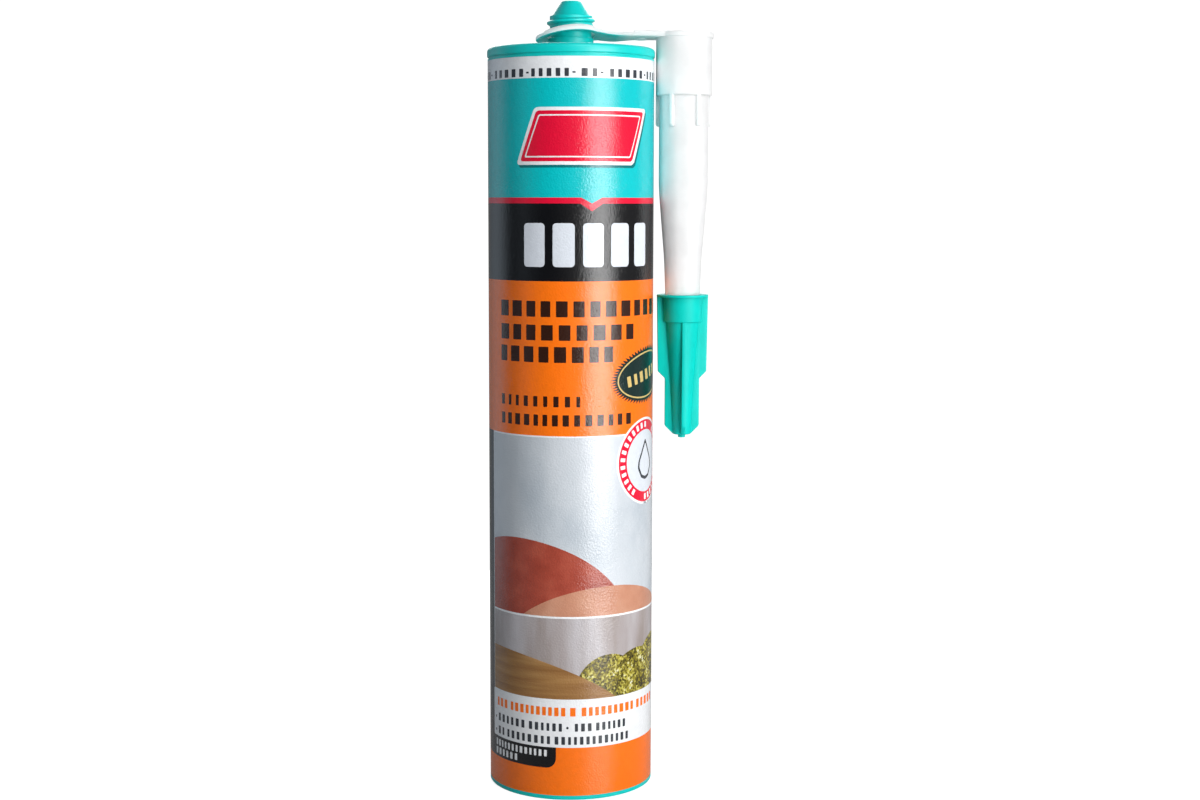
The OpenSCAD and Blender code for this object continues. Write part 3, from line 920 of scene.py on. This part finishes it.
def nozzle():
    """Strap, flange, hub, ribs and tube in one moulding with its bore, and the thread in its socket."""
    wall = NOZZLE_WALL
    hub_top = FLANGE_Z + 0.4 * MM
    hub = hung([
        (0, TIP_Z, 0), (TIP_R, TIP_Z, 0.2 * MM), (STEP_R, STEP_Z, 0.6 * MM), (SPOUT_R, SPOUT_Z, 0.5 * MM),
        (TAPER_R, TAPER_Z, 2 * MM), (TUBE_R, TUBE_Z, 3 * MM), (TUBE_R, HUB_Z, 0.3 * MM),
        (HUB_R, HUB_Z, 0.45 * MM), (HUB_R, hub_top, 0), (0, hub_top, 0)])
    below = TIP_Z - 1 * MM
    above = FLANGE_TOP + 1 * MM
    flare_r = SOCKET_R + 0.35 * MM
    bore = hung([
        (0, below, 0), (TIP_HOLE_R, below, 0), (TIP_HOLE_R, TIP_Z, 0), (STEP_R - wall, STEP_Z, 0),
        (SPOUT_R - wall, SPOUT_Z, 0), (TAPER_R - wall, TAPER_Z, 0), (TUBE_R - wall, TUBE_Z, 0),
        (TUBE_R - wall, SOCKET_Z, 0.2 * MM), (SOCKET_R, SOCKET_Z, 0.2 * MM),
        (SOCKET_R, FLANGE_TOP - 0.3 * MM, 0.3 * MM), (flare_r, FLANGE_TOP + 0.05 * MM, 0),
        (flare_r, above, 0), (0, above, 0)])
    pip = turned([(0, FLANGE_Z - PIP_H, 0), (PIP_R, FLANGE_Z - PIP_H, 0.2 * MM), (PIP_R, FLANGE_Z + LAP, 0),
                  (0, FLANGE_Z + LAP, 0)], 48)
    ribs = [rib(math.tau * i / RIB_COUNT) for i in range(RIB_COUNT)]
    bm = joined(strap_plate(), [hub, move(pip, PIP_X), ring_lip()] + ribs, [bore])
    bm.normal_update()
    # Faces that face down over the barrel take the natural plastic with painted teal bounce light and shade
    for face in bm.faces:
        middle = face.calc_center_median()
        if middle.z > SHOULDER_Z and middle.x < WRAP_R and face.normal.z < -0.3:
            face.material_index = 1
    moulding = piece_of("nozzle_moulding", bm, "nozzle", "nozzle", natural_plastic, underside_painted_teal_shade, angle=40)
    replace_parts(moulding, "nozzle")
    thread = helix(
        SOCKET_R, SOCKET_R - SOCKET_THREAD_DEPTH, SOCKET_Z + 1.2 * MM, FLANGE_TOP - 1.6 * MM, 0.6)
    piece_of("socket_thread", move(thread, HANG_X), "nozzle", "nozzle", natural_plastic)


# Cap

def fin(points, angle):
    """One fin with rounded corners and edges."""
    bm = bmesh.new()
    polygon(bm, points, lambda r, z: (r, -FIN_T / 2, z))
    thicken(bm, (0, FIN_T, 0))
    outer = [e for e in sharp_edges(bm) if any(v.co.x > 0.1 * MM for v in e.verts)]
    soften(bm, outer, 0.22 * MM, 2)
    return move(turn(bm, angle), HANG_X)


def nozzle_cap():
    """Collar, rim plate, core, nub and four fins in one moulding, hollow to fit the nozzle's tip."""
    def core_r(z):
        """Radius of the core at a height, one skin outside the nozzle's tip."""
        return TIP_R + (STEP_R - TIP_R) * (z - TIP_Z) / (STEP_Z - TIP_Z) + CAP_SKIN
    middle = (CORE_Z + CAP_Z) / 2
    rim_z = CAP_TOP - CAP_RIM_T
    collar_r = SPOUT_R + CAP_SKIN
    core = hung([
        (0, CAP_Z, 0), (TIP_R + CAP_SKIN, CAP_Z, 0.4 * MM), (core_r(middle), middle, 0),
        (core_r(CORE_Z), CORE_Z, 0.15 * MM), (collar_r - CAP_COLLAR_TAPER, CORE_Z, 0.3 * MM),
        (collar_r, rim_z, 0.1 * MM), (FIN_TOP_R, rim_z, 0.2 * MM), (FIN_TOP_R, CAP_TOP, 0.2 * MM),
        (0, CAP_TOP, 0)])
    nub_top = CAP_Z + LAP
    nub = hung([(0, NUB_Z, 0), (NUB_R, NUB_Z, 0.25 * MM), (NUB_R, nub_top, 0), (0, nub_top, 0)], 32)
    tip_r = TIP_R + CAP_CLEAR
    spout_r = SPOUT_R + CAP_CLEAR
    inside_end = TIP_Z - 0.6 * MM
    above = CAP_TOP + 0.1 * MM
    inside = hung([
        (0, inside_end, 0), (tip_r, inside_end, 0), (tip_r, TIP_Z, 0), (STEP_R + CAP_CLEAR, STEP_Z, 0),
        (spout_r, SPOUT_Z, 0), (spout_r, CAP_TOP - 0.3 * MM, 0.2 * MM), (spout_r + 0.3 * MM, above, 0),
        (0, above, 0)])
    foot = [(0, CAP_Z, 0), (FIN_END_R, CAP_Z, 0.3 * MM),
            (FIN_LOW_R, CAP_Z + FIN_LOW_R - FIN_END_R, 0.4 * MM)]
    shelf = CAP_TOP - FIN_WIDE_L
    wide = foot + [
        (FIN_LOW_R, shelf - FIN_MID_R + FIN_LOW_R, 0.3 * MM), (FIN_MID_R, shelf, 0.3 * MM),
        (FIN_TOP_R - 0.02 * MM, CAP_TOP - LAP, 0), (0, CAP_TOP - LAP, 0)]
    narrow = foot + [(FIN_NARROW_R, CORE_Z + LAP, 0), (0, CORE_Z + LAP, 0)]
    fins = [fin(wide, FIN_TURN), fin(wide, FIN_TURN + math.pi),
            fin(narrow, FIN_TURN + math.pi / 2), fin(narrow, FIN_TURN - math.pi / 2)]
    # This join leaves doubled faces where fins and core meet, and not quite the same ones each run
    bm = joined(core, [nub] + fins, [inside])
    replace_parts(piece_of("cap_moulding", bm, "cap", "nozzle_cap", cap_plastic, angle=40), "nozzle_cap")


# Sealant

def sealant():
    """The paste, which shortens as the piston pushes it out."""
    bm = turned([(0, sealant_low.z, 0), (sealant_high.x, sealant_low.z, 0.3 * MM),
                 (sealant_high.x, sealant_high.z, 0.3 * MM), (0, sealant_high.z, 0)])
    piece = piece_of("sealant_fill", bm, "barrel", "sealant", paste)
    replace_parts(piece, "sealant")
    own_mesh(piece)


# Stage, light and camera

TABLE_R = 0.32
TABLE_FADE_R = 0.08
TABLE_GLOW = 0.85
WHITE_ROOM = 1.1
CEILING = (0.12, 0.12, 0.12, 1)
COOL = 0.14
AIM_Z = 0.13

# Light from the room by azimuth, in degrees from the front towards the nozzle's side
ROOM = [
    (-180, 0.30), (-160, 0.20), (-146, 0.24), (-132, 0.60), (-120, 0.80), (-106, 0.80), (-98, 0.14),
    (-86, 0.05), (-72, 0.40), (-56, 0.16), (-40, 0.06), (-22, 0.07), (0, 0.25), (15, 0.45), (75, 0.45),
    (95, 0.20), (118, 0.30), (136, 0.75), (156, 0.25), (179, 0.30)]

# The photograph's view, in metres, degrees and millimetres of lens
CAMERA_SPOT = (0, -0.555, 0.1766)
CAMERA_PITCH = 6.17
CAMERA_YAW = 0.91
CAMERA_ROLL = 0.12
FOCAL = 55.29
SENSOR_W = 36


def floor():
    """A pale satin table top, whose rim fades into the white room."""
    bm = bmesh.new()
    bmesh.ops.create_circle(bm, cap_ends=True, segments=128, radius=TABLE_R)
    sheet, tree, surface = shader("pale table top", (0.42, 0.42, 0.42), 0.22, Specular_IOR_Level=0.5)
    tint(tree, surface, noise(tree, 8, 2), [(0.3, (0.41, 0.41, 0.41)), (0.7, (0.43, 0.43, 0.43))])
    place = node(tree, "ShaderNodeTexCoord")
    reach = node(tree, "ShaderNodeVectorMath")
    reach.operation = "LENGTH"
    fade = node(tree, "ShaderNodeMapRange", From_Min=TABLE_FADE_R, From_Max=TABLE_R,
                To_Min=TABLE_GLOW, To_Max=1.0)
    fade.interpolation_type = "SMOOTHSTEP"
    rays = node(tree, "ShaderNodeLightPath")
    glow = node(tree, "ShaderNodeMath")
    glow.operation = "MULTIPLY"
    surface.inputs["Emission Color"].default_value = (1, 1, 1, 1)
    tree.links.new(place.outputs["Object"], reach.inputs[0])
    tree.links.new(reach.outputs["Value"], fade.inputs["Value"])
    tree.links.new(fade.outputs["Result"], glow.inputs[0])
    tree.links.new(rays.outputs["Is Camera Ray"], glow.inputs[1])
    tree.links.new(glow.outputs["Value"], surface.inputs["Emission Strength"])
    mesh_of("floor", bm, [sheet])


def lamp(name, azimuth, distance, height, wide, tall, radiance):
    """A soft box that faces the tube. Azimuth is from the front towards the nozzle's side, in degrees."""
    light = bpy.data.lights.new(name, "AREA")
    light.shape = "RECTANGLE"
    light.size = wide
    light.size_y = tall
    light.energy = radiance * math.pi * wide * tall
    lit = bpy.data.objects.new(name, light)
    way = math.radians(azimuth)
    spot = Vector((distance * math.sin(way), -distance * math.cos(way), height))
    aim = (Vector((0, 0, AIM_Z)) - spot).to_track_quat("-Z", "Y")
    lit.matrix_world = Matrix.LocRotScale(spot, aim, None)
    lit.visible_camera = False
    bpy.context.scene.collection.objects.link(lit)
    return lit


def link_light(lit, pieces, state):
    """Let a lamp reach only these pieces, or with EXCLUDE all but these."""
    group = bpy.data.collections.new(lit.name + " pieces")
    for piece in pieces:
        group.objects.link(piece)
    for item in group.collection_objects:
        item.light_linking.link_state = state
    lit.light_linking.receiver_collection = group


def surroundings():
    """A white room for the camera, and soft light, dimmer and cooler towards the left of the tube."""
    world = bpy.data.worlds.new("white room")
    bpy.context.scene.world = world
    world.use_nodes = True
    tree = world.node_tree
    back_light = tree.nodes["Background"]
    plain = node(tree, "ShaderNodeBackground", Color=(1, 1, 1, 1), Strength=WHITE_ROOM)
    place = node(tree, "ShaderNodeTexCoord")
    around = node(tree, "ShaderNodeTexGradient")
    around.gradient_type = "RADIAL"
    stops = []
    for azimuth, level in ROOM:
        cool = COOL if -150 < azimuth < 0 else 0.0
        stops.append((((azimuth + 90) / 360) % 1.0, (level * (1 - cool), level, level * (1 + cool))))
    room = colour_ramp(tree, around.outputs["Fac"], sorted(stops))
    split = node(tree, "ShaderNodeSeparateXYZ")
    rise = node(tree, "ShaderNodeMapRange", From_Min=0.5, From_Max=0.9)
    lid = node(tree, "ShaderNodeMix")
    lid.data_type = "RGBA"
    lid.inputs["B"].default_value = CEILING
    rays = node(tree, "ShaderNodeLightPath")
    mix = node(tree, "ShaderNodeMixShader")
    tree.links.new(place.outputs["Generated"], around.inputs["Vector"])
    tree.links.new(place.outputs["Generated"], split.inputs["Vector"])
    tree.links.new(split.outputs["Z"], rise.inputs["Value"])
    tree.links.new(rise.outputs["Result"], lid.inputs["Factor"])
    tree.links.new(room, lid.inputs["A"])
    tree.links.new(lid.outputs["Result"], back_light.inputs["Color"])
    tree.links.new(rays.outputs["Is Camera Ray"], mix.inputs["Fac"])
    tree.links.new(back_light.outputs["Background"], mix.inputs[1])
    tree.links.new(plain.outputs["Background"], mix.inputs[2])
    tree.links.new(mix.outputs["Shader"], tree.nodes["World Output"].inputs["Surface"])


def camera():
    """The photograph's view: in front of the tube, lower than its shoulder, looking slightly down."""
    spot = Vector(CAMERA_SPOT)
    pitch = math.radians(CAMERA_PITCH)
    yaw = math.radians(CAMERA_YAW)
    roll = math.radians(CAMERA_ROLL)
    forward = Vector((math.sin(yaw) * math.cos(pitch), math.cos(yaw) * math.cos(pitch), -math.sin(pitch)))
    right = Vector((math.cos(yaw), -math.sin(yaw), 0))
    up = right.cross(forward)
    side = right * math.cos(roll) + up * math.sin(roll)
    over = up * math.cos(roll) - right * math.sin(roll)
    lens = bpy.data.cameras.new("camera")
    lens.lens = FOCAL
    lens.sensor_width = SENSOR_W
    lens.clip_start = 0.01
    lens.clip_end = 20
    seen = bpy.data.objects.new("camera", lens)
    seen.matrix_world = Matrix((
        (side.x, over.x, -forward.x, spot.x), (side.y, over.y, -forward.y, spot.y),
        (side.z, over.z, -forward.z, spot.z), (0, 0, 0, 1)))
    bpy.context.scene.collection.objects.link(seen)
    bpy.context.scene.camera = seen


camera()
surroundings()
key = lamp("key", azimuth=41, distance=1.0, height=0.13, wide=0.62, tall=0.56, radiance=8.6)
lamp("upper", azimuth=25, distance=1.0, height=0.85, wide=0.8, tall=0.6, radiance=4.0)
lamp("rear", azimuth=180, distance=1.0, height=0.75, wide=0.8, tall=0.6, radiance=4.0)
nozzle_key = lamp("nozzle key", azimuth=58, distance=1.0, height=0.13, wide=0.62, tall=0.56, radiance=5.6)
nozzle_fill = lamp("nozzle fill", azimuth=-25, distance=0.8, height=0.16, wide=0.25, tall=0.5, radiance=7.2)
floor()
bpy.context.scene.view_settings.view_transform = "Standard"

barrel()
nipple_thread()
wrap_film()
top_row()
banner()
notched_stripe()
pale_blocks()
print_on("word_rows", rows(BROWN_ROWS), brown_ink)
pictures()
seal()
badge()
info_panel()
tag()
back()
nozzle()
nozzle_cap()
sealant()

# The natural plastic passes light round to its shaded side, so it has a softer key and a fill of its own
natural_pieces = [bpy.data.objects[name] for name in ("nozzle_moulding", "socket_thread")]
link_light(key, natural_pieces, "EXCLUDE")
link_light(nozzle_key, natural_pieces, "INCLUDE")
link_light(nozzle_fill, natural_pieces, "INCLUDE")

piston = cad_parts["piston"]
piston.data.materials[0] = piston_plastic
